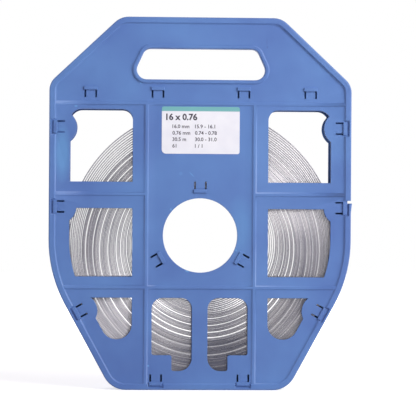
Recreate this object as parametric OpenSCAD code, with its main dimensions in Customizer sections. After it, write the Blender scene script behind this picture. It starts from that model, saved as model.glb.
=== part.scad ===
// Roll of stainless steel banding in its carrying case.
//
// Two moulded shells snap together round a loosely wound coil of band. The case
// has a hand hole at the top, eight windows on each face, a bore through its hub
// and a slot in one side where the band is drawn off. The coil hangs on the hub.
//
// X runs to the right, the front face looks along -Y, and Z is up. The origin is
// on the floor under the middle of the case, which stands on its bottom edge.

/* [Case outline] */
// Width of the case between its upright sides
case_w = 284; // [270:1:320]
// Height of the case
case_h = 350; // [344:1:380]
// Half width of the top edge, before its corners are rounded
top_half = 75.5; // [70:0.5:85]
// Height of the shoulders, where the sides turn in towards the top
shoulder_z = 287.4; // [285:0.2:300]
// Height of the waist, where the sides turn in towards the foot
waist_z = 108.2; // [95:0.2:120]
// Half width of the foot, before its corners are rounded
foot_half = 82.5; // [78:0.5:90]
// Corner radius at the top edge
top_r = 19; // [8:0.5:24]
// Corner radius at the shoulders
shoulder_r = 16; // [8:0.5:22]
// Radius of the long bend at the waist
waist_r = 128; // [60:1:135]
// Corner radius at the foot
foot_r = 23; // [12:0.5:26]

/* [Shell] */
// Clearance between the coil and the panel on each side of it
band_gap = 2; // [1:0.1:4]
// Thickness of a panel
panel_t = 2; // [1.6:0.1:3]
// Thickness of the side wall
wall_t = 2; // [1.6:0.1:3]
// Height of the rim bead above the panel
rim_h = 2; // [1:0.1:3]
// Width of the rim bead
rim_w = 6.7; // [5.6:0.1:7.2]
// Width of the ribs
rib_w = 4.7; // [3:0.1:5.6]
// Height of the ribs above the panel
rib_h = 1.4; // [0.8:0.1:2]
// Distance of the two upright ribs from the middle
post_rib_x = 50.8; // [49:0.2:54]
// Distance from the hand hole down to the middle of the rib under it
head_rib_drop = 22.5; // [21.5:0.1:24]
// Height of the short ribs between the side windows
side_rib_z = 183.8; // [180:0.2:188]
// Height of the rib above the foot windows
foot_rib_z = 96.2; // [92:0.2:100]

/* [Hand hole] */
// Height of the lower edge of the hand hole
hand_z = 291.4; // [290.6:0.2:294]
// Height of the hand hole
hand_h = 28.9; // [26:0.1:34]
// Half width of the hand hole at its lower edge, before rounding
hand_low_half = 65.6; // [58:0.2:70]
// Half width of the hand hole at its upper edge, before rounding
hand_top_half = 52.3; // [46:0.2:56]
// Corner radius at the lower edge
hand_low_r = 9.4; // [4:0.2:10]
// Corner radius at the upper edge
hand_top_r = 7.5; // [4:0.2:10]
// Width of the bead round the hand hole
hand_bead_w = 4.5; // [2.5:0.1:4.8]
// Depth of the front shell's collars in the hand hole and the hub
collar_d = 6; // [3:0.5:10]
// Clearance round those collars where they enter the back shell
collar_gap = 0.3; // [0.2:0.05:0.5]

/* [Windows] */
// Width of the frame between the case's edge and its windows
frame_w = 19.2; // [17:0.2:22]
// Distance from an upright rib's middle to the side windows
side_window_gap = 13; // [8:0.2:16]
// Distance from an upright rib's middle to the foot windows
foot_window_gap = 5.7; // [3.5:0.1:8]
// Distance from the head rib's middle down to the upper side windows
upper_top_gap = 5.7; // [3.5:0.1:8]
// Distance from the side ribs' middle up to the upper side windows
upper_low_gap = 11.4; // [6:0.2:16]
// Distance from the side ribs' middle down to the middle side windows
middle_top_gap = 13.5; // [8:0.1:18]
// Distance from the foot rib's middle up to the middle side windows
middle_low_gap = 10; // [6:0.2:16]
// Distance from the foot rib's middle down to the windows below it
lower_top_gap = 9.8; // [5:0.2:14]
// Height of the lower side windows
lower_h = 39; // [30:0.5:42]
// Height of the sill under the foot windows
foot_sill = 17.7; // [17:0.1:22]
// Half width of the bar between the two foot windows
foot_bar_half = 7.4; // [5:0.2:10]
// Inner top corner radius of the upper side windows
upper_in_r = 9.5; // [4:0.5:14]
// Outer top corner radius of the upper side windows
upper_out_r = 11.3; // [4:0.1:14]
// Bottom corner radius of the lower side windows
lower_r = 14; // [6:0.5:14]
// Top corner radius of the foot windows
foot_top_r = 10.3; // [4:0.1:14]
// Inner bottom corner radius of the foot windows
foot_low_r = 12; // [4:0.5:14]
// Width of the block that fills the outer bottom corner of a foot window
block_w = 18.8; // [14:0.2:21]
// Height of that block
block_h = 14.9; // [10:0.1:18]
// Radius of the block's corners
block_r = 2; // [1:0.1:2.4]

/* [Clips] */
// Distance between the middles of a clip's two slits
slit_gap = 10.2; // [9.8:0.1:11]
// Width of a slit
slit_w = 1.6; // [1:0.1:2]
// Length of a slit
slit_l = 7; // [5:0.1:8]
// Distance from the case's edge to the near end of the slits
slit_in = 7.6; // [7.5:0.1:8.4]
// Width of the cut across a tongue's free end
tongue_gap = 0.7; // [0.5:0.1:1]
// Width of the raised box over a hook
box_w = 12.3; // [11.8:0.1:13]
// Length of the raised box
box_l = 3.5; // [3.4:0.1:4.2]
// Height of the raised box above the panel
box_h = 1.6; // [1.6:0.1:2]
// Thickness of the plastic over a hook
box_skin = 0.9; // [0.8:0.1:1]
// Width of a hook post
hook_w = 8.6; // [7:0.1:9]
// Thickness of a hook post
hook_t = 1.8; // [1.4:0.1:1.9]
// Clearance round a hook in its pocket
hook_gap = 0.3; // [0.2:0.05:0.4]
// Radius of the round tabs that carry the side clips
tab_r = 16; // [14:0.5:18]
// Distance of a tab's middle from the case's edge
tab_in = 9.7; // [8:0.1:12]
// Length of the break in the rim bead at a clip
rim_break = 13.5; // [13.2:0.1:16]
// Distance from the middle to the inner clips under the hand hole
head_clip_in_x = 40.4; // [38:0.2:43]
// Distance from the middle to the outer clips under the hand hole
head_clip_out_x = 103.4; // [100:0.2:106]
// Distance from the hand hole down to the slits of the clips under it
head_clip_drop = 10.1; // [9.6:0.1:10.4]
// Height of the upper side clips
side_clip_high_z = 246.5; // [240:0.5:250]
// Height of the lower side clips
side_clip_low_z = 171.6; // [170.5:0.2:172.4]
// Distance of the slanting edge's clips from the foot's corner
slant_clip_along = 78.9; // [74:0.1:84]
// Distance from the middle to the clips in the foot
foot_clip_x = 41; // [36:0.5:44]

/* [Hub] */
// Radius of the bore through the hub
bore_r = 35; // [30:0.5:36]
// Thickness of the hub's wall
hub_wall_t = 2.2; // [1.6:0.1:2.8]
// Distance of the hub clips' slits from the bore
hub_slit_in = 8.6; // [8.4:0.1:9.4]
// Radius that the hub's three buttresses reach
buttress_r = 44; // [43:0.2:46]
// Number of clips round the hub
hub_clips = 3; // [3:1:4]

/* [Band] */
// Width of the band
band_w = 16; // [12:0.1:18]
// Thickness of the band
band_t = 0.76; // [0.5:0.01:1]
// Number of turns
turns = 56; // [40:1:58]
// Outer radius of the coil
coil_out_r = 125; // [110:0.5:130]
// Radius of the coil's bore
coil_in_r = 49.75; // [49:0.25:55]
// Depth of the gaps between the turns, seen at the coil's ends
turn_gap_depth = 0.6; // [0.3:0.1:1.5]
// Clearance between the coil and the buttress it hangs on
coil_seat_gap = 0.3; // [0.1:0.05:0.5]
// Gap under the coil, down to the wall of the foot
coil_floor_gap = 12.65; // [11:0.05:16]
// Height of the slot where the band is drawn off
exit_h = 2.5; // [1.5:0.1:4]
// Depth of that slot, from the side of the case
exit_depth = 3.3; // [2.8:0.1:5]
// Height of the middle of that slot
exit_z = 177.3; // [176.6:0.1:178.6]
// Length of the flared lip under the slot
exit_lip_l = 9; // [5:0.5:12]
// Distance the flared lip stands out from the side
exit_lip_out = 0.9; // [0.4:0.1:2]

/* [Label] */
// Width of the label
label_w = 73.2; // [60:0.2:76]
// Gap between the label and the hub's upper clip
label_rise = 26.1; // [5:0.1:40]
// Thickness of the label
label_t = 0.2; // [0.1:0.05:0.4]
// Gap between the label and the rib above it
label_drop = 0.45; // [0.2:0.05:2]
// Corner radius of the label
label_r = 2; // [1:0.5:5]

/* [Hidden] */

eps = 0.01;                  // overlap that makes two volumes one
arc_error = 0.05;            // furthest an arc's chord lies inside the arc
half_w = case_w / 2;
half_d = band_w / 2 + band_gap + panel_t;   // outer face of a panel
coil_z = wall_t + coil_floor_gap + coil_out_r;
bore_z = coil_z + coil_in_r - coil_seat_gap - buttress_r;
collar_out = wall_t + collar_gap;           // from a collar's inside to the back shell's wall
head_rib_z = hand_z - head_rib_drop;
head_clip_z = hand_z - head_clip_drop;
hook_in = slit_in - box_l / 2;              // middle of a hook, from the case's edge
hub_hook_in = hub_slit_in - box_l / 2;      // middle of a hook, from the bore
hook_tip = half_d + box_h - box_skin - hook_gap;
pitch = (coil_out_r - coil_in_r - band_t) / (turns - 1);
side_window_x = post_rib_x + side_window_gap;

blue = [0.40, 0.53, 0.77];
steel = [0.78, 0.78, 0.77];
paper = [0.93, 0.94, 0.95];

// ---- Outlines ---------------------------------------------------------------

function unit(v) = v / norm(v);
function left(v) = [-v[1], v[0]];
function turned(v, a) = [v[0] * cos(a) - v[1] * sin(a), v[0] * sin(a) + v[1] * cos(a)];
function steps(r, turn) = max(2, ceil(abs(turn) / (2 * acos(1 - min(0.5, arc_error / r)))));

// Points of the arc of radius r that rounds corner p between its neighbours a and b
function fillet(a, p, b, r) =
    let (u = unit(p - a), v = unit(b - p),
         turn = atan2(u[0] * v[1] - u[1] * v[0], u * v),
         side = sign(turn),
         start = p - r * tan(abs(turn) / 2) * u,
         spoke = side * r * left(u),
         n = steps(r, turn))
    [for (i = [0:n]) start + spoke - turned(spoke, turn * i / n)];

// Outline through the corners p, each rounded to its radius; a radius of 0 stays sharp
function rounded(p, radii) =
    let (n = len(p))
    [for (i = [0:n - 1])
        each radii[i] > 0 ? fillet(p[(i + n - 1) % n], p[i], p[(i + 1) % n], radii[i]) : [p[i]]];

// Corners of the outline p (anticlockwise) moved inwards by d
function inset(p, d) =
    let (n = len(p))
    [for (i = [0:n - 1])
        let (u = unit(p[i] - p[(i + n - 1) % n]), v = unit(p[(i + 1) % n] - p[i]))
        p[i] + d * (left(u) + left(v)) / (1 + u * v)];

case_corners = [
    [-foot_half, 0], [foot_half, 0], [half_w, waist_z], [half_w, shoulder_z],
    [top_half, case_h], [-top_half, case_h], [-half_w, shoulder_z], [-half_w, waist_z]];
case_radii = [foot_r, foot_r, waist_r, shoulder_r, top_r, top_r, shoulder_r, waist_r];

// The case's outline moved inwards by d
function case_line(d) = rounded(inset(case_corners, d), [for (r = case_radii) max(1, r - d)]);

hand_corners = [
    [-hand_low_half, hand_z], [hand_low_half, hand_z],
    [hand_top_half, hand_z + hand_h], [-hand_top_half, hand_z + hand_h]];
hand_radii = [hand_low_r, hand_low_r, hand_top_r, hand_top_r];

// The hand hole's outline moved outwards by d
function hand_line(d) = rounded(inset(hand_corners, -d), [for (r = hand_radii) r + d]);

// ---- Building blocks --------------------------------------------------------

// Carries a flat outline from depth y0 to depth y1
module slab(y0, y1) {
    translate([0, y1, 0]) rotate([90, 0, 0]) linear_extrude(y1 - y0) children();
}

// A cylinder along Y, of radius r, from y0 to y1, round the hub's axis
module hub_disc(r, y0, y1) {
    translate([0, y1, bore_z]) rotate([90, 0, 0]) cylinder(r = r, h = y1 - y0, $fn = 96);
}

// A block from corner a to corner b
module block(a, b) {
    translate(a) cube(b - a);
}

// Draws its children as they are and mirrored to the other side
module both_sides() {
    children();
    mirror([1, 0, 0]) children();
}

// ---- Clips ------------------------------------------------------------------
// Each clip has its own frame: X runs across it, Z runs inwards from its edge.

slant = unit([half_w - foot_half, waist_z]);
slant_angle = atan2(slant[0], slant[1]);
slant_at = [foot_half, 0] + slant_clip_along * slant;

// Places its children at every clip along the edge, on the right-hand side
module edge_clips() {
    for (z = [side_clip_high_z, side_clip_low_z])
        translate([half_w, 0, z]) rotate([0, -90, 0]) children();
    translate([slant_at[0], 0, slant_at[1]]) rotate([0, slant_angle - 90, 0]) children();
    translate([foot_clip_x, 0, 0]) children();
}

// Places its children at every clip under the hand hole, on the right-hand side
module head_clips() {
    for (x = [head_clip_in_x, head_clip_out_x])
        translate([x, 0, head_clip_z + slit_in]) rotate([0, 180, 0]) children();
}

// Places its children at every clip round the hub
module hub_clips() {
    for (i = [0:hub_clips - 1])
        translate([0, 0, bore_z]) rotate([0, i * 360 / hub_clips, 0])
            translate([0, 0, bore_r]) children();
}

// The cuts in the front panel that leave a clip's tongue
module tongue_cuts(at) {
    for (x = [-slit_gap, slit_gap] / 2)
        block([x - slit_w / 2, -half_d - eps, at],
              [x + slit_w / 2, panel_t - half_d + eps, at + slit_l]);
    block([-slit_gap / 2, -half_d - eps, at],
          [slit_gap / 2, panel_t - half_d + eps, at + tongue_gap]);
}

// The raised box over a hook
module hook_box(at) {
    block([-box_w / 2, -half_d - box_h, at - box_l], [box_w / 2, -half_d + eps, at]);
}

// The pocket under that box
module hook_pocket(at) {
    block([-hook_w / 2 - hook_gap, -hook_tip - hook_gap, at - hook_t / 2 - hook_gap],
          [hook_w / 2 + hook_gap, panel_t - half_d + eps, at + hook_t / 2 + hook_gap]);
}

// The post on the back shell whose end is the hook
module hook_post(at) {
    block([-hook_w / 2, -hook_tip, at - hook_t / 2],
          [hook_w / 2, half_d - panel_t + eps, at + hook_t / 2]);
}

// ---- Shells -----------------------------------------------------------------

// The windows of one side, as flat shapes
module side_windows() {
    x0 = side_window_x;
    x1 = half_w - frame_w;
    upper_z0 = side_rib_z + upper_low_gap;
    upper_z1 = head_rib_z - upper_top_gap;
    polygon(rounded([[x0, upper_z0], [x1, upper_z0], [x1, upper_z1], [x0, upper_z1]],
                    [0, 0, upper_out_r, upper_in_r]));
    middle_z0 = foot_rib_z + middle_low_gap;
    middle_z1 = side_rib_z - middle_top_gap;
    intersection() {
        polygon(case_line(frame_w));
        translate([x0, middle_z0]) square([half_w, middle_z1 - middle_z0]);
    }
    // the outer edge of the lower window runs along the slant of the case
    line = inset(case_corners, frame_w);
    lean = (line[2][0] - line[1][0]) / (line[2][1] - line[1][1]);
    lower_z1 = foot_rib_z - lower_top_gap;
    lower_z0 = lower_z1 - lower_h;
    lower_x = line[1][0] + (lower_z0 - line[1][1]) * lean;
    polygon(rounded([
        [x0, lower_z0], [lower_x, lower_z0], [lower_x + lower_h * lean, lower_z1],
        [x0, lower_z1]], [lower_r, lower_r, 0, 0]));
}

// The window of the right half of the foot, as a flat shape
module foot_window() {
    x0 = foot_bar_half;
    x1 = post_rib_x - foot_window_gap;
    z0 = foot_sill;
    z1 = foot_rib_z - lower_top_gap;
    corners = [
        [x0, z0], [x1 - block_w, z0], [x1 - block_w, z0 + block_h], [x1, z0 + block_h],
        [x1, z1], [x0, z1]];
    polygon(rounded(corners, [foot_low_r, block_r, block_r, block_r, foot_top_r, foot_top_r]));
}

// The round tabs that reach into the side windows, as flat shapes
module tabs() {
    for (z = [side_clip_high_z, side_clip_low_z])
        translate([half_w - tab_in, z]) circle(r = tab_r, $fn = 64);
    translate(slant_at + tab_in * left(slant)) circle(r = tab_r, $fn = 64);
}

// The panel from y0 to y1, with its openings widened by grow where collars enter it
module panel(y0, y1, grow) {
    difference() {
        slab(y0, y1) polygon(case_line(0));
        slab(y0 - eps, y1 + eps) polygon(hand_line(grow));
        both_sides() slab(y0 - eps, y1 + eps) difference() {
            side_windows();
            tabs();
        }
        both_sides() slab(y0 - eps, y1 + eps) foot_window();
        hub_disc(bore_r + grow, y0 - eps, y1 + eps);
    }
}

// The wall round the edge, from y0 to y1
module side_wall(y0, y1) {
    slab(y0, y1) difference() {
        polygon(case_line(0));
        polygon(case_line(wall_t));
    }
}

// The wall round the hand hole, from y0 to y1, standing back from the hole by d
module hand_wall(y0, y1, d) {
    slab(y0, y1) difference() {
        polygon(hand_line(d + wall_t));
        polygon(hand_line(d));
    }
}

// The raised rim and the bead round the hand hole, which is widened by grow
module beads(y0, y1, grow) {
    slab(y0, y1) difference() {
        polygon(case_line(0));
        polygon(case_line(rim_w));
    }
    slab(y0, y1) difference() {
        polygon(hand_line(grow + hand_bead_w));
        polygon(hand_line(grow));
    }
}

// The raised ribs, from y0 to y1, which end inside the rim bead
module ribs(y0, y1) {
    slab(y0, y1) intersection() {
        polygon(case_line(rim_w / 2));
        union() {
            for (z = [head_rib_z, foot_rib_z])
                translate([-half_w, z - rib_w / 2]) square([case_w, rib_w]);
            both_sides() {
                translate([post_rib_x, side_rib_z - rib_w / 2]) square([half_w, rib_w]);
                translate([post_rib_x - rib_w / 2, 0]) square([rib_w, head_rib_z]);
            }
        }
    }
}

// The slot in the right-hand side where the band is drawn off
module exit_slot() {
    reach = half_d + rim_h + eps;
    block([half_w - exit_depth, -reach, exit_z - exit_h / 2],
          [half_w + exit_lip_out + eps, reach, exit_z + exit_h / 2]);
}

// The lip below that slot, from y0 to y1, flaring outwards to guide the band
module exit_lip(y0, y1) {
    top = exit_z - exit_h / 2;
    slab(y0, y1) polygon([
        [half_w - wall_t / 2, top - exit_lip_l], [half_w, top - exit_lip_l],
        [half_w + exit_lip_out, top - exit_lip_out], [half_w + exit_lip_out, top],
        [half_w - wall_t / 2, top]]);
}

module front_shell() {
    collar_y = collar_d - half_d;
    color(blue)
    difference() {
        union() {
            panel(-half_d, panel_t - half_d, 0);
            side_wall(-half_d, 0);
            hand_wall(-half_d, collar_y, 0);
            hub_disc(bore_r + wall_t, -half_d, collar_y);
            difference() {
                beads(-half_d - rim_h, -half_d + eps, 0);
                both_sides() edge_clips()
                    block([-rim_break / 2, -half_d - rim_h - eps, wall_t],
                          [rim_break / 2, -half_d + 2 * eps, slit_in + slit_l]);
            }
            ribs(-half_d - rib_h, -half_d + eps);
            exit_lip(-half_d - rim_h, 0);
            both_sides() {
                edge_clips() hook_box(slit_in);
                head_clips() hook_box(slit_in);
            }
            hub_clips() hook_box(hub_slit_in);
        }
        hub_disc(bore_r, -half_d - eps, collar_y + eps);
        both_sides() {
            edge_clips() {
                tongue_cuts(slit_in);
                hook_pocket(hook_in);
            }
            head_clips() {
                tongue_cuts(slit_in);
                hook_pocket(hook_in);
            }
        }
        hub_clips() {
            tongue_cuts(hub_slit_in);
            hook_pocket(hub_hook_in);
        }
        exit_slot();
    }
}

module back_shell() {
    inner_y = panel_t + collar_gap - half_d;    // just short of the front panel
    color(blue)
    difference() {
        union() {
            panel(half_d - panel_t, half_d, collar_out);
            side_wall(0, half_d);
            hand_wall(inner_y, half_d, collar_out);
            hub_disc(bore_r + collar_out + hub_wall_t, inner_y, half_d);
            beads(half_d - eps, half_d + rim_h, collar_out);
            ribs(half_d - eps, half_d + rib_h);
            exit_lip(0, half_d + rim_h);
            both_sides() {
                edge_clips() hook_post(hook_in);
                head_clips() hook_post(hook_in);
            }
            hub_clips() {
                hook_post(hub_hook_in);
                block([-hook_w / 2, inner_y, collar_out + eps],
                      [hook_w / 2, half_d - panel_t + eps, buttress_r - bore_r]);
            }
        }
        hub_disc(bore_r + collar_out, inner_y - eps, half_d + rim_h + eps);
        exit_slot();
    }
}

// ---- Band and label ---------------------------------------------------------

module banding_coil() {
    end = band_w / 2;
    // across the turns from the inside out: each turn's edge, then the gap after it
    turn_edges = [for (i = [0:turns - 1])
        let (r = coil_in_r + i * pitch)
        each i < turns - 1
            ? [[r, end], [r + band_t, end], [r + (band_t + pitch) / 2, end - turn_gap_depth]]
            : [[r, end], [coil_out_r, end]]];
    back_edges = [for (i = [len(turn_edges) - 1:-1:0]) [turn_edges[i][0], -turn_edges[i][1]]];
    color(steel)
    translate([0, 0, coil_z]) rotate([90, 0, 0])
        rotate_extrude($fn = 120) polygon(concat(turn_edges, back_edges));
}

module label() {
    top = head_rib_z - rib_w / 2 - label_drop;
    low = bore_z + bore_r + hub_slit_in + slit_l + label_rise;
    corners = [
        [-label_w / 2, low], [label_w / 2, low], [label_w / 2, top], [-label_w / 2, top]];
    color(paper)
    slab(-half_d - label_t, -half_d)
        polygon(rounded(corners, [2 * label_r, label_r, label_r, label_r]));
}

front_shell();
back_shell();
banding_coil();
label();
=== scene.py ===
"""Roll of stainless steel banding in its carrying case.

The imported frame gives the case, the coil and the label. This script gives them their looks:
the shells get sloping beads and rounded edges in moulded plastic, the coil becomes a real
wound band, and the label gets its header strip and print. Lengths are written in
millimetres and turned into metres where a mesh is made.
"""
import math

import bmesh
import bpy
import numpy as np
from mathutils import Matrix


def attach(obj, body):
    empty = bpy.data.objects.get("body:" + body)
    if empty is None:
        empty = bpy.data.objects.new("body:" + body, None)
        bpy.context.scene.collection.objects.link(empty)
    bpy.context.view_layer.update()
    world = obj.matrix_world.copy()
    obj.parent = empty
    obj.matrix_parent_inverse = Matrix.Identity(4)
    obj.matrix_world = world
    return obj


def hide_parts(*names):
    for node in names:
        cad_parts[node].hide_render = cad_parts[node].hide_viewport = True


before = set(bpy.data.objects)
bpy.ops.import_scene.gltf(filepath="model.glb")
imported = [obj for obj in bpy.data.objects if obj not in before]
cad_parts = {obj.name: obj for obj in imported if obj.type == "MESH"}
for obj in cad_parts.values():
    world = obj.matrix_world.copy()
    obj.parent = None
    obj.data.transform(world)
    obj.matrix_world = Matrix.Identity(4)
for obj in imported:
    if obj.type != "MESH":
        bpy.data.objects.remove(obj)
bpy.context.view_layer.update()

MM = 0.001
scene = bpy.context.scene

# ---- Sizes of the case, as in its frame ---------------------------------------

PANEL = 12.0            # from the middle plane to a panel's outer face
RIM_H, RIM_W = 2.0, 6.7
RIB_H, RIB_W = 1.4, 4.7
HAND_BEAD_W = 4.5
POST_X = 50.8
RIB_Z = (268.9, 183.8, 96.2)
BREAK = 13.5            # length of the rim's break at a clip
BORE_Z = 145.1          # height of the bore's middle
COLLAR_OUT = 2.3        # how much wider the back shell's hand hole is, all round
RIM_SLOPE, RIB_SLOPE, BREAK_SLOPE = 1.4, 1.2, 0.8
NEAR = 0.1              # a height or distance this close to another counts as the same

CASE = [(-82.5, 0), (82.5, 0), (142, 108.2), (142, 287.4),
        (75.5, 350), (-75.5, 350), (-142, 287.4), (-142, 108.2)]
CASE_R = [23, 23, 128, 16, 19, 19, 16, 128]
HAND = [(-65.6, 291.4), (65.6, 291.4), (52.3, 320.3), (-52.3, 320.3)]
HAND_R = [9.4, 9.4, 7.5, 7.5]

# the right half's clips, which the left half mirrors, and the three round the bore
SIDE_CLIP_Z = (246.5, 171.6)
SLANT_CLIP = 78.9       # from the foot's corner up the slanting side
FOOT_CLIP_X = 41
HAND_CLIP_X, HAND_CLIP_Z = (40.4, 103.4), 288.9
BORE_R, BORE_CLIPS = 35, (0, 120, 240)
CLIP_HALF, CLIP_NEAR, CLIP_FAR = 7, 3.9, 15.5   # half width and depths of a clip's cuts
SLOT_X, SLOT_Z, SLOT_REACH = 136, 177.3, 4      # round the slot where the band is drawn off


# ---- Small tools ----------------------------------------------------------------

def rounded_line(corners, radii, step=0.25):
    """Points along an anticlockwise outline with rounded corners, and its outward normals.

    Each corner p is replaced by an arc of radius r: it starts r*tan(turn/2) before the
    corner, and its middle lies r to the left of the path. The straights between the arcs
    are filled in at equal steps.
    """
    p = np.array(corners, float)
    prev, nxt = np.roll(p, 1, 0), np.roll(p, -1, 0)
    points = []
    for a, b, c, r in zip(prev, p, nxt, radii):
        u, v = (b - a) / np.linalg.norm(b - a), (c - b) / np.linalg.norm(c - b)
        turn = math.atan2(u[0] * v[1] - u[1] * v[0], u @ v)
        start = b - r * math.tan(turn / 2) * u
        middle = start + r * np.array([-u[1], u[0]])
        t = np.linspace(0, turn, max(3, int(r * turn / step)))
        spoke = start - middle
        points.append(middle + np.stack([spoke[0] * np.cos(t) - spoke[1] * np.sin(t),
                                         spoke[0] * np.sin(t) + spoke[1] * np.cos(t)], 1))
    line = np.concatenate(points)
    ends = np.roll(line, -1, 0)
    lengths = np.linalg.norm(ends - line, axis=1)
    along = np.concatenate([[0], np.cumsum(lengths)])
    s = np.linspace(0, along[-1], int(along[-1] / step), endpoint=False)
    closed = np.vstack([line, line[:1]])
    pts = np.stack([np.interp(s, along, closed[:, 0]), np.interp(s, along, closed[:, 1])], 1)
    path = np.roll(pts, -1, 0) - np.roll(pts, 1, 0)
    path /= np.linalg.norm(path, axis=1)[:, None]
    return pts, np.stack([path[:, 1], -path[:, 0]], 1)


def distance_inside(xz, line):
    """How far each point lies inside an outline, and the outline's normal beside it."""
    pts, normals = line
    gap = ((xz[:, None, :] - pts[None, :, :]) ** 2).sum(2)
    near = gap.argmin(1)
    n = normals[near]
    return -((xz - pts[near]) * n).sum(1), n


def smooth_step(x):
    """0 below 0, 1 above 1, and 3x^2 - 2x^3 between."""
    x = np.clip(x, 0, 1)
    return x * x * (3 - 2 * x)


def put_mesh(name, points, faces, material):
    """An object from a point array in millimetres and a face list."""
    mesh = bpy.data.meshes.new(name)
    mesh.from_pydata((np.asarray(points) * MM).tolist(), [], faces)
    mesh.validate()
    mesh.materials.append(material)
    obj = bpy.data.objects.new(name, mesh)
    scene.collection.objects.link(obj)
    return obj


# ---- Materials --------------------------------------------------------------------

DRIFT_LOW, DRIFT_HIGH = 0.3, 0.7    # a noise seldom leaves this range


def new_material(name):
    """A material with an empty node tree but for a Principled shader and its output."""
    material = bpy.data.materials.new(name)
    material.use_nodes = True
    nodes, links = material.node_tree.nodes, material.node_tree.links
    nodes.clear()
    out = nodes.new("ShaderNodeOutputMaterial")
    shader = nodes.new("ShaderNodeBsdfPrincipled")
    links.new(shader.outputs[0], out.inputs[0])
    return material, nodes, links, shader


def rgb(r, g, b):
    """A colour written as eight-bit display values, as the shader's linear ones."""
    c = np.array([r, g, b]) / 255
    c = np.where(c <= 0.04045, c / 12.92, ((c + 0.055) / 1.055) ** 2.4)
    return (*c.tolist(), 1.0)


def noise(nodes, links, vector, scale, detail=3.0, rough=0.5, stretch=None):
    """A noise texture on the given coordinates, drawn out by the stretch along each axis."""
    if stretch:
        place = nodes.new("ShaderNodeMapping")
        place.inputs["Scale"].default_value = stretch
        links.new(vector, place.inputs["Vector"])
        vector = place.outputs[0]
    n = nodes.new("ShaderNodeTexNoise")
    n.inputs["Scale"].default_value = scale
    n.inputs["Detail"].default_value = detail
    n.inputs["Roughness"].default_value = rough
    links.new(vector, n.inputs["Vector"])
    return n.outputs["Fac"]


def ramp(nodes, links, value, stops):
    """A colour ramp through (position, colour) stops."""
    r = nodes.new("ShaderNodeValToRGB")
    r.color_ramp.elements[0].position, r.color_ramp.elements[0].color = stops[0]
    r.color_ramp.elements[1].position, r.color_ramp.elements[1].color = stops[-1]
    for position, colour in stops[1:-1]:
        e = r.color_ramp.elements.new(position)
        e.color = colour
    links.new(value, r.inputs[0])
    return r.outputs[0]


def ranged(nodes, links, value, low, high, to_low, to_high):
    """The value's range from low to high, carried to another range and held there."""
    m = nodes.new("ShaderNodeMapRange")
    m.inputs["From Min"].default_value = low
    m.inputs["From Max"].default_value = high
    m.inputs["To Min"].default_value = to_low
    m.inputs["To Max"].default_value = to_high
    links.new(value, m.inputs["Value"])
    return m.outputs[0]


def spread(nodes, links, drift, to_low, to_high):
    """A noise's middle range, carried to another range and held there."""
    return ranged(nodes, links, drift, DRIFT_LOW, DRIFT_HIGH, to_low, to_high)


def feed(links, value, socket):
    """Links a socket, or writes a plain value, into an input."""
    if isinstance(value, bpy.types.NodeSocket):
        links.new(value, socket)
    else:
        socket.default_value = value


def mixed(nodes, links, share, a, b):
    """Colour b over colour a by a share; each may be a colour or a socket."""
    m = nodes.new("ShaderNodeMix")
    m.data_type, m.blend_type = "RGBA", "MIX"
    for value, socket in ((share, m.inputs[0]), (a, m.inputs[6]), (b, m.inputs[7])):
        feed(links, value, socket)
    return m.outputs[2]


def maths(nodes, links, operation, a, b=0.0):
    """One step of arithmetic; each side may be a number or a socket."""
    m = nodes.new("ShaderNodeMath")
    m.operation = operation
    feed(links, a, m.inputs[0])
    feed(links, b, m.inputs[1])
    return m.outputs[0]


def bumps(nodes, links, shader, *layers):
    """Stacks bump layers (height, strength, distance in metres) onto a shader."""
    normal = None
    for height, strength, distance in layers:
        b = nodes.new("ShaderNodeBump")
        b.inputs["Strength"].default_value = strength
        b.inputs["Distance"].default_value = distance
        links.new(height, b.inputs["Height"])
        if normal:
            links.new(normal, b.inputs["Normal"])
        normal = b.outputs[0]
    links.new(normal, shader.inputs["Normal"])


# marks on the front, as (x, z, half length, half width, turn in degrees, share): the light ones
# are small rubs and, last, two broad patches of painted sheen; then come dark violet marks
RUBS_AND_SHEEN = [(-117.1, 265.8, 2.0, 1.0, 0, 0.5), (-56.4, 287.8, 0.9, 0.9, 0, 0.5),
        (-48.0, 22.6, 1.1, 1.1, 0, 0.55), (-8.2, 202.4, 4.2, 0.7, 45, 0.35),
        (-18.5, 203.2, 2.2, 2.0, 0, 0.15), (-27.5, 169.5, 1.6, 1.0, 50, 0.5),
        (33.8, 131.4, 1.4, 1.0, 60, 0.4), (-12.1, 111.4, 2.4, 0.9, 20, 0.5),
        # the last two are painted sheen: broad lighter patches where the light falls, on the
        # left strip and right of the hub
        (-129.5, 222, 30, 9, 90, 0.35), (38, 152, 34, 14, 90, 0.2)]
# dark violet marks, beside the left clip's rim break and beside the hand hole's upper right
# corner
DARK_VIOLET_MARKS = [(62.2, 322.6, 1.4, 0.9, 90, 0.3), (61.8, 327.5, 4.5, 1.2, 90, 0.12),
           (-136.5, 246.5, 5.5, 0.8, 90, 0.45)]


def marked(nodes, links, at, marks):
    """How strongly the marks show: each is an oval, full inside and gone at its rim."""
    total = None
    for x, z, long, wide, turn, share in marks:
        place = nodes.new("ShaderNodeMapping")
        place.vector_type = "TEXTURE"
        place.inputs["Location"].default_value = (x * MM, 0, z * MM)
        place.inputs["Rotation"].default_value = (0, math.radians(turn), 0)
        place.inputs["Scale"].default_value = (long * MM, 1, wide * MM)
        links.new(at, place.inputs["Vector"])
        reach = nodes.new("ShaderNodeVectorMath")
        reach.operation = "LENGTH"
        links.new(place.outputs[0], reach.inputs[0])
        mark = ranged(nodes, links, reach.outputs["Value"], 0.4, 1.0, share, 0.0)
        total = mark if total is None else maths(nodes, links, "ADD", total, mark)
    return total


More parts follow.
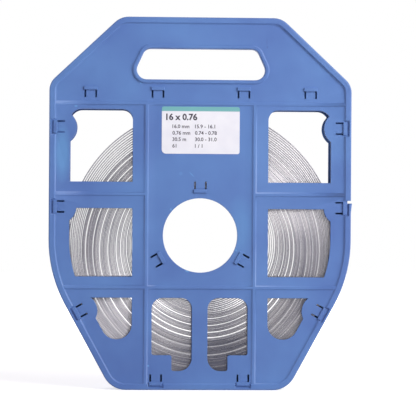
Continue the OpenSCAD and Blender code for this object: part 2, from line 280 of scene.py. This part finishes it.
def moulded_blue():
    """Moulded polypropylene: two close blues in slow drifts, a fine grain, small rubs and dark
    marks, and two broad patches of painted sheen.
    """
    material, nodes, links, shader = new_material("moulded_blue")
    at = nodes.new("ShaderNodeTexCoord").outputs["Object"]
    drift = noise(nodes, links, at, 11, 3, 0.55)
    colour = ramp(nodes, links, drift,
                  [(DRIFT_LOW, rgb(75, 106, 171)), (DRIFT_HIGH, rgb(92, 132, 192))])
    split = nodes.new("ShaderNodeSeparateXYZ")
    links.new(at, split.inputs[0])
    # the marks stay on the front shell's outer faces
    front_side = ranged(nodes, links, split.outputs[1], -0.0105, -0.0095, 1, 0)
    # the cyan tint paints the rubs and the painted sheen, the dark violet one the dark marks
    for marks, tint in ((RUBS_AND_SHEEN, rgb(112, 178, 228)), (DARK_VIOLET_MARKS, rgb(60, 62, 120))):
        share = maths(nodes, links, "MULTIPLY", marked(nodes, links, at, marks), front_side)
        colour = mixed(nodes, links, share, colour, tint)
    links.new(colour, shader.inputs["Base Color"])
    grain = noise(nodes, links, at, 1500, 2, 0.6)
    sheen = noise(nodes, links, at, 60, 3, 0.5)
    links.new(spread(nodes, links, sheen, 0.36, 0.5), shader.inputs["Roughness"])
    shader.inputs["IOR"].default_value = 1.49
    bumps(nodes, links, shader, (grain, 0.15, 0.00004), (sheen, 0.2, 0.0004))
    return material


def slit_steel():
    """Stainless band: bright rolled faces, and slit edges with a tone for each turn and a
    painted highlight and shade round the coil.
    """
    material, nodes, links, shader = new_material("slit_steel")
    uv = nodes.new("ShaderNodeUVMap")
    uv.uv_map = "along_band"
    # each turn's own tone, with the painted highlight and shade round the coil added in
    tone = nodes.new("ShaderNodeAttribute")
    tone.attribute_name = "turn_tone_and_sheen"
    streak = noise(nodes, links, uv.outputs[0], 1.0, 3, 0.6, (9.0, 900.0, 1.0))
    place = nodes.new("ShaderNodeTexCoord")
    facing = nodes.new("ShaderNodeSeparateXYZ")
    links.new(place.outputs["Normal"], facing.inputs[0])
    # 1 on the slit edges, which face along Y, and 0 on the rolled faces
    edge = ranged(nodes, links, maths(nodes, links, "ABSOLUTE", facing.outputs[1]),
                  0.3, 0.6, 0, 1)
    drift = noise(nodes, links, place.outputs["Object"], 16, 2, 0.5)
    level = maths(nodes, links, "ADD", tone.outputs["Fac"],
                  maths(nodes, links, "ADD",
                        spread(nodes, links, streak, -0.08, 0.08),
                        spread(nodes, links, drift, -0.22, 0.22)))
    slit = ramp(nodes, links, level, [(0.0, rgb(116, 116, 130)), (1.0, rgb(206, 203, 207))])
    links.new(mixed(nodes, links, edge, rgb(176, 175, 183), slit), shader.inputs["Base Color"])
    shader.inputs["Metallic"].default_value = 1.0
    # fine marks along the band spread what it mirrors across the band
    shader.inputs["Anisotropic"].default_value = 0.8
    shader.inputs["Anisotropic Rotation"].default_value = 0.25
    band = nodes.new("ShaderNodeTangent")
    band.direction_type, band.uv_map = "UV_MAP", "along_band"
    links.new(band.outputs[0], shader.inputs["Tangent"])
    rough = maths(nodes, links, "ADD", spread(nodes, links, streak, -0.04, 0.04),
                  ranged(nodes, links, edge, 0, 1, 0.18, 0.5))
    links.new(rough, shader.inputs["Roughness"])
    bumps(nodes, links, shader, (streak, 0.12, 0.00003))
    return material


HEAD_FOOT = (0.2617, 0.2619)    # where the strip's lower edge lies, in metres


def label_stock():
    """Coated paper with a teal strip printed across its top."""
    material, nodes, links, shader = new_material("label_stock")
    at = nodes.new("ShaderNodeTexCoord").outputs["Object"]
    split = nodes.new("ShaderNodeSeparateXYZ")
    links.new(at, split.inputs[0])
    head = ranged(nodes, links, split.outputs[2], *HEAD_FOOT, 0, 1)
    fibre = noise(nodes, links, at, 2500, 2, 0.6)
    tint = noise(nodes, links, at, 60, 2, 0.5)
    paper = ramp(nodes, links, tint,
                 [(DRIFT_LOW, rgb(229, 231, 240)), (DRIFT_HIGH, rgb(238, 240, 246))])
    colour = mixed(nodes, links, head, paper, rgb(112, 175, 178))
    links.new(colour, shader.inputs["Base Color"])
    shader.inputs["Roughness"].default_value = 0.45
    bumps(nodes, links, shader, (fibre, 0.1, 0.00003))
    return material


def print_ink():
    """Dark printing ink, a little uneven."""
    material, nodes, links, shader = new_material("print_ink")
    at = nodes.new("ShaderNodeTexCoord").outputs["Object"]
    patchy = noise(nodes, links, at, 1200, 2, 0.6)
    colour = ramp(nodes, links, patchy,
                  [(DRIFT_LOW, rgb(34, 30, 46)), (DRIFT_HIGH, rgb(56, 50, 68))])
    links.new(colour, shader.inputs["Base Color"])
    shader.inputs["Roughness"].default_value = 0.5
    return material


# ---- Shells -----------------------------------------------------------------------

case_line = rounded_line(CASE, CASE_R)
hand_line = rounded_line(HAND, HAND_R)


def clip_frames():
    """Each clip's start, its direction into the panel and how far it lies from the start.

    Eight clips stand on the case's edge, four under the hand hole and three round the hub.
    """
    foot, waist = np.array(CASE[1], float), np.array(CASE[2], float)
    slant = (waist - foot) / np.linalg.norm(waist - foot)
    right = [((waist[0], z), (-1, 0)) for z in SIDE_CLIP_Z]
    right += [(foot + SLANT_CLIP * slant, (-slant[1], slant[0])), ((FOOT_CLIP_X, 0), (0, 1))]
    right += [((x, HAND_CLIP_Z), (0, -1)) for x in HAND_CLIP_X]
    left = [((-p[0], p[1]), (-d[0], d[1])) for p, d in right]
    frames = [(np.array(p, float), np.array(d, float), 0.0) for p, d in right + left]
    for turn in BORE_CLIPS:
        d = np.array([math.sin(math.radians(turn)), math.cos(math.radians(turn))])
        frames.append((np.array([0, BORE_Z]) + BORE_R * d, d, 1.0))
    return frames


def by_slot(xz):
    """Which points lie beside the slot where the band is drawn off."""
    return (xz[:, 0] > SLOT_X) & (abs(xz[:, 1] - SLOT_Z) < SLOT_REACH)


CLOSE = 0.06            # a point this close to a side's line belongs to that side
AROUND = 1.0            # room round the rim when its breaks are looked for


def draw_slopes(co, side, grow):
    """Moves the tops of the beads and ribs in, so that their sides slope.

    side is -1 for the front shell and 1 for the back one, and grow is how much wider the
    shell's hand hole is than the front's, all round. A point at height h above its
    panel, on a bead's side, moves towards the bead's middle by slope * h / bead height. A
    point on two such sides meets both: its move m solves m . n = shift for each side's
    normal n, by least squares.
    """
    xz = co[:, [0, 2]]
    h = side * co[:, 1] - PANEL
    matrix = np.zeros((len(co), 2, 2))
    target = np.zeros((len(co), 2))

    def side_moves(where, normal, shift):
        """Adds one side to the points it holds: its normal, and how far they move along it."""
        n = np.broadcast_to(normal, xz.shape)[where]
        matrix[where] += n[:, :, None] * n[:, None, :]
        target[where] += n * np.broadcast_to(shift, h.shape)[where][:, None]

    inset, outward = distance_inside(xz, case_line)
    rim = (h > CLOSE) & (abs(inset - RIM_W) < CLOSE)
    side_moves(rim, outward, RIM_SLOPE * h / RIM_H)
    hole, away = distance_inside(xz, hand_line)
    bead = (h > CLOSE) & (abs(-hole - grow - HAND_BEAD_W) < CLOSE)
    side_moves(bead, -away, RIM_SLOPE * h / RIM_H)
    crest = abs(h - RIB_H) < CLOSE
    half_crest = RIB_W / 2 - RIB_SLOPE
    for z in RIB_Z:
        off = xz[:, 1] - z
        on = crest & (abs(off) > half_crest) & (abs(off) < RIB_W / 2 + CLOSE)
        if z == RIB_Z[1]:
            on &= abs(xz[:, 0]) > POST_X - RIB_W
        side_moves(on, np.stack([0 * off, -np.sign(off)], 1), abs(off) - half_crest)
    off = abs(xz[:, 0]) - POST_X
    on = crest & (abs(off) > half_crest) & (abs(off) < RIB_W / 2 + CLOSE)
    on &= xz[:, 1] < RIB_Z[0]
    side_moves(on, np.stack([-np.sign(off) * np.sign(xz[:, 0]), 0 * off], 1),
               abs(off) - half_crest)
    top = (abs(h - RIM_H) < CLOSE) & (inset < RIM_W + CLOSE)
    for start, inward, _ in clip_frames():
        path = np.array([inward[1], -inward[0]])
        along = (xz - start) @ path
        on = top & (abs(abs(along) - BREAK / 2) < CLOSE) & (inset > AROUND) & ~by_slot(xz)
        on &= abs((xz - start) @ inward) < RIM_W + AROUND
        side_moves(on, np.sign(along)[:, None] * path, BREAK_SLOPE)
    move = (np.linalg.pinv(matrix, rcond=1e-4) @ target[:, :, None])[:, :, 0]
    out = co.copy()
    out[:, 0] += move[:, 0]
    out[:, 2] += move[:, 1]
    return out


ROUNDING = 1.2          # the largest rounding
CORNER = math.radians(25)   # an edge that turns out by more than this is a corner
CORNER_SHARE, CLIP_SHARE = 0.25, 0.07
STEEP = 1.0             # the bend, in radians, past which an outer edge is rounded in full


def edge_rounding(mesh, side, grow):
    """How far each edge is rounded, as a share of the largest rounding.

    The case's outer edge and the hand hole's edge get the full share, other outer corners
    over 25 degrees a quarter, and the small cuts of the clips less. side and grow are as
    in draw_slopes.
    """
    co = np.zeros(len(mesh.vertices) * 3)
    mesh.vertices.foreach_get("co", co)
    co = co.reshape(-1, 3) / MM
    ends = np.zeros(len(mesh.edges) * 2, int)
    mesh.edges.foreach_get("vertices", ends)
    ends = ends.reshape(-1, 2)
    bm = bmesh.new()
    bm.from_mesh(mesh)
    bend = np.array([e.calc_face_angle_signed(0.0) for e in bm.edges])
    bm.free()
    xz = co[:, [0, 2]]
    h = side * co[:, 1] - PANEL
    inset, _ = distance_inside(xz, case_line)
    hole, _ = distance_inside(xz, hand_line)

    def both(flag):
        """Whether an edge's two ends carry the flag."""
        return flag[ends[:, 0]] & flag[ends[:, 1]]

    share = np.where(bend > CORNER, CORNER_SHARE, 0.0)
    in_clip = np.zeros(len(co), bool)
    for start, inward, shift in clip_frames():
        depth = (xz - start) @ inward - shift
        along = abs((xz - start) @ np.array([inward[1], -inward[0]]))
        in_clip |= (along < CLIP_HALF) & (depth > CLIP_NEAR) & (depth < CLIP_FAR)
    share[both(in_clip & (h < RIB_H + NEAR)) & (share > 0)] = CLIP_SHARE
    share[both(by_slot(xz) | (side * co[:, 1] < 0))] = 0.0
    on_rim = h > RIM_H - NEAR
    share[both(on_rim & (inset < NEAR)) & (bend > STEEP)] = 1.0
    share[both(on_rim & (abs(-hole - grow) < NEAR)) & (bend > STEEP)] = 1.0
    return share


# lines that part the large faces through the middle of each hole, as axis: places
PARTINGS = {(1, 0, 0): (*(-x for x in HAND_CLIP_X[::-1]), 0, *HAND_CLIP_X),
            (0, 0, 1): (69.1, BORE_Z, *SIDE_CLIP_Z[::-1], 301)}
MERGE = 1e-6            # corners of the CAD surface closer than this, in metres, are one
MERGE_MOVED = 0.02      # and so are the moved ones closer than this
FLAT = math.radians(0.5)    # faces that bend less than this are one face

NOSE_HALF = 4.2         # half the width of a hook's nose
# a nose's outline, as (depth inwards from the clip's start, y): under the bar and up its cut
NOSE = [(6.6, -9.85), (7.63, -9.85), (7.63, -11.97), (8.26, -11.85), (8.26, -8.35), (6.6, -8.35)]


def hook_noses():
    """The noses of the back shell's hooks: one straight prism of the outline for each clip."""
    points, faces = [], []
    count = len(NOSE)
    for start, inward, shift in clip_frames():
        path = np.array([inward[1], -inward[0]])
        first = len(points)
        for along in (-NOSE_HALF, NOSE_HALF):
            for depth, y in NOSE:
                x, z = start + (depth + shift) * inward + along * path
                points.append((x, y, z))
        for k in range(count):
            n = (k + 1) % count
            faces.append([first + k, first + n, first + count + n, first + count + k])
        faces.append([first + k for k in range(count)][::-1])
        faces.append([first + count + k for k in range(count)])
    return points, faces


def moulded_shell(node, name, side, grow, material):
    """A shell with sloping beads and rounded edges, from its CAD surface.

    side and grow are as in draw_slopes. The back shell also gets the noses of its hooks.
    """
    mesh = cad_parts[node].data.copy()
    mesh.name = name
    bm = bmesh.new()
    bm.from_mesh(mesh)
    bmesh.ops.remove_doubles(bm, verts=bm.verts, dist=MERGE)
    for axis, places in PARTINGS.items():
        for place in places:
            cut = bmesh.ops.bisect_plane(bm, geom=bm.verts[:] + bm.edges[:] + bm.faces[:],
                                         dist=MERGE, plane_no=axis,
                                         plane_co=[c * place * MM for c in axis])
            for piece in cut["geom_cut"]:
                if isinstance(piece, bmesh.types.BMEdge):
                    piece.seam = True
    bmesh.ops.dissolve_limit(bm, angle_limit=FLAT, verts=bm.verts,
                             edges=bm.edges, delimit={"SEAM"})
    bm.to_mesh(mesh)
    bm.free()
    co = np.zeros(len(mesh.vertices) * 3)
    mesh.vertices.foreach_get("co", co)
    co = draw_slopes(co.reshape(-1, 3) / MM, side, grow) * MM
    mesh.vertices.foreach_set("co", co.ravel())
    bm = bmesh.new()
    bm.from_mesh(mesh)
    bmesh.ops.remove_doubles(bm, verts=bm.verts, dist=MERGE_MOVED * MM)
    moulded = len(bm.faces)
    if side > 0:
        points, faces = hook_noses()
        verts = [bm.verts.new(np.array(p) * MM) for p in points]
        added = [bm.faces.new([verts[k] for k in face]) for face in faces]
        bmesh.ops.recalc_face_normals(bm, faces=added)
    bm.to_mesh(mesh)
    bm.free()
    share = edge_rounding(mesh, side, grow)
    weight = mesh.attributes.new("bevel_weight_edge", "FLOAT", "EDGE")
    weight.data.foreach_set("value", share)
    mesh.materials.clear()
    mesh.materials.append(material)
    mesh.polygons.foreach_set("use_smooth", np.arange(len(mesh.polygons)) < moulded)
    shell = bpy.data.objects.new(name, mesh)
    scene.collection.objects.link(shell)
    bevel = shell.modifiers.new("rounded_edges", "BEVEL")
    bevel.limit_method = "WEIGHT"
    bevel.width = ROUNDING * MM
    bevel.segments = 2
    bevel.use_clamp_overlap = False
    bevel.miter_outer = "MITER_SHARP"
    normals = shell.modifiers.new("flat_faces", "WEIGHTED_NORMAL")
    normals.keep_sharp = True
    return shell


# ---- Coil -------------------------------------------------------------------------

BAND_T, BAND_W = 0.76, 15.5
CHAMFER = 0.16          # on the band's four long edges
COIL_Z = 139.65         # height of the coil's middle
TURNS, SEGMENTS = 61, 160
LEAD = 9                # steps over which a turn leads over to the next
END_SHORT = 4           # steps by which the last turn falls short
OUT_OF_LINE = 0.25      # how far a turn may stand out along Y
SOFTEN = 12             # steps over which that is evened out
FLARE = 0.06            # on the right the turns open to the back by this much of the depth
FLARE_TURN = math.radians(15)   # and most so this far below the right
SEED = 16

# The coil hangs loose, so its turns lie off its middle: the ones between lie low and to the
# right. Each row is a turn's number, its inner radius, and its middle from the coil's middle
# in x and z.
LAY = np.array([(0, 49.75, 0, 0), (12, 66, 5.6, -3.0), (27, 86, 5.2, -7.6),
                (40, 101, 3.4, -9.6), (51, 113.4, 2.8, -7.9), (57, 121.4, 2.3, -4.4),
                (60, 125.9, 1.9, -2.3)])
# painted highlight and shade round the coil: where its edges are made brighter, where the lamps'
# fans fall, or darker, as (angle, change of tone)
PAINTED_SHEEN_ROUND_COIL = [(0, 0.02), (38, 0.4), (90, 0.0), (142, 0.0), (170, -0.18), (190, 0.0), (228, 0.08),
         (255, 0.0), (282, -0.6), (312, 0.3), (350, -0.02)]
# radii of the wider gaps, whose share of the room grows outwards
PARTED = (60.4, 63.6, 69.2, 73.6, 79.4, 83.2, 90.6, 97, 103.6, 110.2, 114.8)
PARTED_FROM, PARTED_SHARE, PARTED_GROWTH = 60, 0.6, 0.045
SPARE_SHARE = (0.07, 0.45)      # of the room that the other gaps take
LEAST_GAP, LEAST_SPARE = 0.03, 0.02


def turn_lay(rng):
    """The inner radius of each turn, and where its middle lies."""
    radius = np.interp(np.arange(TURNS), LAY[:, 0], LAY[:, 1])
    # a turn's gap may close only as far as its neighbour's shift lets it
    shift = np.hypot(*[np.diff(np.interp(radius, LAY[:, 1], LAY[:, i])) for i in (2, 3)])
    least = BAND_T + shift + LEAST_GAP
    weight = rng.uniform(*SPARE_SHARE, TURNS - 1)
    for at in PARTED:
        place = abs(radius[:-1] - at).argmin()
        weight[place] = PARTED_SHARE + PARTED_GROWTH * (at - PARTED_FROM)
    spare = np.maximum(np.diff(radius) - least, LEAST_SPARE) * weight
    # the spare room is shared out again inside each stretch of the table
    for a, b in zip(LAY[:-1, 0].astype(int), LAY[1:, 0].astype(int)):
        room = (radius[b] - radius[a]) - least[a:b].sum()
        spare[a:b] *= max(room, 0) / spare[a:b].sum()
    radius = np.concatenate([[radius[0]], radius[0] + np.cumsum(least + spare)])
    middle = [np.interp(radius, LAY[:, 1], LAY[:, i]) for i in (2, 3)]
    return radius, middle[0], middle[1]


def wound_band(material):
    """The band as one long strip wound in 61 turns.

    Turn k is a circle of radius r about (x, z), so at angle a it lies from the coil's
    middle by
        R(a) = x cos a + z sin a + sqrt(r^2 - (x sin a - z cos a)^2).
    Near the top each turn steps out to the next one by a smooth step. The section, a bar
    with cut corners, is carried along that path, each turn a little out of line along Y
    and, on the right, a little wider at the back by FLARE cos^3(a + 15) of the depth.
    """
    rng = np.random.default_rng(SEED)
    r, x, z = (v[:, None] for v in turn_lay(rng))
    a = np.linspace(0, 2 * math.pi, SEGMENTS, endpoint=False) + math.pi / 2
    radius = x * np.cos(a) + z * np.sin(a) + np.sqrt(r**2 - (x * np.sin(a) - z * np.cos(a))**2)
    # the last steps of a turn lead over to the next turn
    lead = smooth_step((np.arange(SEGMENTS) - (SEGMENTS - LEAD)) / LEAD)
    onward = np.vstack([radius[1:], radius[-1:]])
    radius = radius + lead * (onward - radius)
    radius = radius.ravel()[: TURNS * SEGMENTS - END_SHORT]
    angle = (a[None, :] + 2 * math.pi * np.arange(TURNS)[:, None]).ravel()[: len(radius)]
    shift = np.repeat(rng.uniform(-OUT_OF_LINE, OUT_OF_LINE, TURNS), SEGMENTS)[: len(radius)]
    half = SOFTEN // 2
    soft = np.ones(SOFTEN) / SOFTEN
    shift = np.convolve(np.pad(shift, half, mode="edge"), soft, "same")[half:-half]
    # the section, anticlockwise seen along the path: x outwards, y to the back
    c = CHAMFER
    half_t, half_w = BAND_T / 2, BAND_W / 2
    sec = np.array([(-half_t, -half_w + c), (-half_t + c, -half_w), (half_t - c, -half_w),
                    (half_t, -half_w + c), (half_t, half_w - c), (half_t - c, half_w),
                    (-half_t + c, half_w), (-half_t, half_w - c)])
    m, n = len(radius), len(sec)
    flare = FLARE * np.maximum(np.cos(angle + FLARE_TURN), 0)[:, None]**3
    r = radius[:, None] + half_t + sec[None, :, 0] + flare * sec[None, :, 1]
    y = shift[:, None] + sec[None, :, 1]
    points = np.stack([r * np.cos(angle)[:, None], y,
                       COIL_Z + r * np.sin(angle)[:, None]], 2).reshape(-1, 3)
    i = np.arange(m - 1)[:, None] * n
    j = np.arange(n)[None, :]
    k = (j + 1) % n
    quads = np.stack([i + j, i + n + j, i + n + k, i + k], 2).reshape(-1, 4)
    faces = quads.tolist() + [list(range(n)), list(range((m - 1) * n, m * n))[::-1]]
    coil = put_mesh("wound_band", points, faces, material)
    mesh = coil.data
    mesh.polygons.foreach_set("use_smooth", np.ones(len(mesh.polygons), bool))
    tone = np.repeat(rng.uniform(0.25, 0.75, TURNS), SEGMENTS)[:m]
    # painted highlight and shade: round the coil the edges are darker here and brighter there
    tone += np.interp(np.degrees(angle) % 360, *np.transpose(PAINTED_SHEEN_ROUND_COIL), period=360)
    layer = mesh.attributes.new("turn_tone_and_sheen", "FLOAT", "POINT")
    layer.data.foreach_set("value", np.repeat(tone, n))
    along = np.concatenate([[0], np.cumsum(np.diff(angle) * radius[1:])]) * MM
    rim = np.concatenate([[0], np.cumsum(np.linalg.norm(np.diff(sec, axis=0), axis=1))]) * MM
    uv = mesh.uv_layers.new(name="along_band")
    corner = np.zeros(len(mesh.loops), int)
    mesh.loops.foreach_get("vertex_index", corner)
    uv.data.foreach_set("uv", np.stack([along[corner // n], rim[corner % n]], 1).ravel())
    bm = bmesh.new()
    bm.from_mesh(mesh)
    bmesh.ops.recalc_face_normals(bm, faces=bm.faces)
    bm.to_mesh(mesh)
    bm.free()
    coil.modifiers.new("flat_edges", "WEIGHTED_NORMAL")
    return coil


# ---- Label's print ------------------------------------------------------------------

# sizes of the band and their spread, as (words, left edge x, foot z, letter height, boldness)
PRINT = [("16 x 0.76", -32.6, 253.6, 5.6, 1.8),
         ("16.0 mm", -26.6, 245.9, 3.3, 0.6), ("15.9 - 16.1", -5.4, 245.9, 3.3, 0.6),
         ("0.76 mm", -26.6, 239.8, 3.3, 0.6), ("0.74 - 0.78", -5.4, 239.8, 3.3, 0.6),
         ("30.5 m", -26.6, 233.8, 3.3, 0.6), ("30.0 - 31.0", -5.4, 233.8, 3.3, 0.6),
         ("61", -26.6, 227.6, 3.3, 0.6), ("1 / 1", -5.4, 227.6, 3.3, 0.6)]
LABEL_FACE, INK = -12.2, 0.03
CAPITAL = 0.69          # height of a capital in the letters, as a share of their size
BOLDER = 0.1            # how far boldness 1 widens a stroke, in the same share


def label_print(material):
    """The label's print as thin closed letters that stand a trace above the paper."""
    points, faces = [], []
    for words, left, foot, height, bold in PRINT:
        curve = bpy.data.curves.new("words", "FONT")
        curve.body = words
        curve.resolution_u = 3
        curve.extrude = 1.0
        curve.offset = bold / height * BOLDER
        text = bpy.data.objects.new("words", curve)
        scene.collection.objects.link(text)
        bpy.context.view_layer.update()
        mesh = bpy.data.meshes.new_from_object(text)
        co = np.zeros(len(mesh.vertices) * 3)
        mesh.vertices.foreach_get("co", co)
        co = co.reshape(-1, 3)
        scale = height / CAPITAL
        first = len(points)
        points += np.stack([left + scale * (co[:, 0] - co[:, 0].min()),
                            LABEL_FACE - INK * co[:, 2],
                            foot + scale * co[:, 1]], 1).tolist()
        faces += [[first + k for k in f.vertices] for f in mesh.polygons]
        bpy.data.objects.remove(text)
        bpy.data.curves.remove(curve)
        bpy.data.meshes.remove(mesh)
    ink = put_mesh("label_print", points, faces, material)
    bm = bmesh.new()
    bm.from_mesh(ink.data)
    bmesh.ops.remove_doubles(bm, verts=bm.verts, dist=1e-7)
    bmesh.ops.recalc_face_normals(bm, faces=bm.faces)
    bm.to_mesh(ink.data)
    bm.free()
    return ink


# ---- Build ------------------------------------------------------------------------

blue = moulded_blue()
steel = slit_steel()
stock = label_stock()

front = moulded_shell("front_shell", "front_moulding", -1, 0, blue)
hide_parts("front_shell")
back = moulded_shell("back_shell", "back_moulding", 1, COLLAR_OUT, blue)
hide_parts("back_shell")
coil = wound_band(steel)
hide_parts("banding_coil")
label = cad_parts["label"]
label.material_slots[0].material = stock
ink = label_print(print_ink())
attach(ink, "root")
for piece, slot in ((front, "case_blue"), (back, "case_blue"), (coil, "stainless_band")):
    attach(piece, "root")

# ---- Floor, light and camera --------------------------------------------------------

# the lamps, as name, place, size, power in watts and colour
LAMPS = (("key", (1120, -1350, 1200), 700, 23, (1.0, 0.98, 0.96)),
         ("right", (1570, -1130, 700), 900, 20, (1.0, 0.98, 0.96)),
         ("left", (-1700, -500, 600), 900, 5, (1.0, 0.95, 1.0)),
         ("back", (300, 1600, 900), 1100, 19, (1, 1, 1)))
LAMP_AIM = (0, 0, 0.17)         # in metres
FILL, FILL_STRENGTH = (1.0, 0.82, 1.0, 1), 0.2
FLOOR_HALF = 3000
FLOOR_GREY = (0.6, 0.6, 0.6, 1)
GLOW_FROM, GLOW_TO = (0.25, 0.66), (0.6, 1.0)   # (metres from the middle, strength)
CAMERA_PLACE = (-58.2, -1623.6, 167.8)
YAW, PITCH, ROLL = 2.325, 0.114, 0.348          # in degrees
SENSOR = 36
FOCAL = 1716.6 / 416            # focal length over the picture's width


def seen_rays(nodes, links):
    """1 for the rays that show a background: straight ones, mirrored ones and those through."""
    path = nodes.new("ShaderNodeLightPath")
    return maths(nodes, links, "MAXIMUM", path.outputs["Is Camera Ray"],
                 maths(nodes, links, "MAXIMUM", path.outputs["Is Glossy Ray"],
                       path.outputs["Is Transmission Ray"]))


def studio():
    """A white surround, a pale floor, soft light from the upper right, and one from behind."""
    world = bpy.data.worlds.new("studio")
    scene.world = world
    world.use_nodes = True
    nodes, links = world.node_tree.nodes, world.node_tree.links
    nodes.clear()
    out = nodes.new("ShaderNodeOutputWorld")
    seen = nodes.new("ShaderNodeBackground")
    seen.inputs[0].default_value = (1, 1, 1, 1)
    fill = nodes.new("ShaderNodeBackground")
    fill.inputs[0].default_value = FILL
    fill.inputs[1].default_value = FILL_STRENGTH
    mix = nodes.new("ShaderNodeMixShader")
    links.new(seen_rays(nodes, links), mix.inputs[0])
    links.new(fill.outputs[0], mix.inputs[1])
    links.new(seen.outputs[0], mix.inputs[2])
    links.new(mix.outputs[0], out.inputs[0])

    e = FLOOR_HALF
    floor = put_mesh("floor", [(-e, -e, 0), (e, -e, 0), (e, e, 0), (-e, e, 0)],
                     [(0, 1, 2, 3)], floor_material())
    for name, place, size, power, colour in LAMPS:
        lamp = bpy.data.lights.new(name, "AREA")
        lamp.shape, lamp.size, lamp.energy, lamp.color = "SQUARE", size * MM, power, colour
        obj = bpy.data.objects.new(name, lamp)
        at = np.array(place) * MM
        obj.matrix_world = look(at, np.array(LAMP_AIM) - at)
        obj.visible_camera = False
        # the back lamp would glare in the gaps between the turns
        obj.visible_glossy = name != "back"
        scene.collection.objects.link(obj)


def floor_material():
    """Pale matt floor that keeps the shadow, and shows white to the rays that see it."""
    material, nodes, links, shader = new_material("pale_floor")
    nodes.remove(shader)
    out = next(n for n in nodes if n.type == "OUTPUT_MATERIAL")
    matt = nodes.new("ShaderNodeBsdfDiffuse")
    matt.inputs[0].default_value = FLOOR_GREY
    glow = nodes.new("ShaderNodeEmission")
    far = nodes.new("ShaderNodeVectorMath")
    far.operation = "LENGTH"
    links.new(nodes.new("ShaderNodeTexCoord").outputs["Object"], far.inputs[0])
    level = ranged(nodes, links, far.outputs["Value"], GLOW_FROM[0], GLOW_TO[0],
                   GLOW_FROM[1], GLOW_TO[1])
    shown = maths(nodes, links, "MULTIPLY", seen_rays(nodes, links), level)
    links.new(shown, glow.inputs[1])
    both = nodes.new("ShaderNodeAddShader")
    links.new(matt.outputs[0], both.inputs[0])
    links.new(glow.outputs[0], both.inputs[1])
    links.new(both.outputs[0], out.inputs[0])
    return material


def look(at, aim, roll=0.0):
    """A place and turn that look along aim, rolled about it."""
    f = np.array(aim, float) / np.linalg.norm(aim)
    r = np.cross(f, [0, 0, 1])
    r /= np.linalg.norm(r)
    u = np.cross(r, f)
    r2 = math.cos(roll) * r + math.sin(roll) * u
    u2 = -math.sin(roll) * r + math.cos(roll) * u
    m = np.eye(4)
    m[:3, 0], m[:3, 1], m[:3, 2], m[:3, 3] = r2, u2, -f, at
    return Matrix(m.tolist())


def camera():
    """A long lens a little left of the middle, almost square to the front."""
    yaw, pitch, roll = (math.radians(v) for v in (YAW, PITCH, ROLL))
    aim = (math.sin(yaw) * math.cos(pitch), math.cos(yaw) * math.cos(pitch), math.sin(pitch))
    data = bpy.data.cameras.new("camera")
    data.sensor_width = SENSOR
    data.lens = SENSOR * FOCAL
    obj = bpy.data.objects.new("camera", data)
    obj.matrix_world = look(np.array(CAMERA_PLACE) * MM, aim, roll)
    scene.collection.objects.link(obj)
    scene.camera = obj


studio()
camera()
scene.view_settings.view_transform = "Standard"
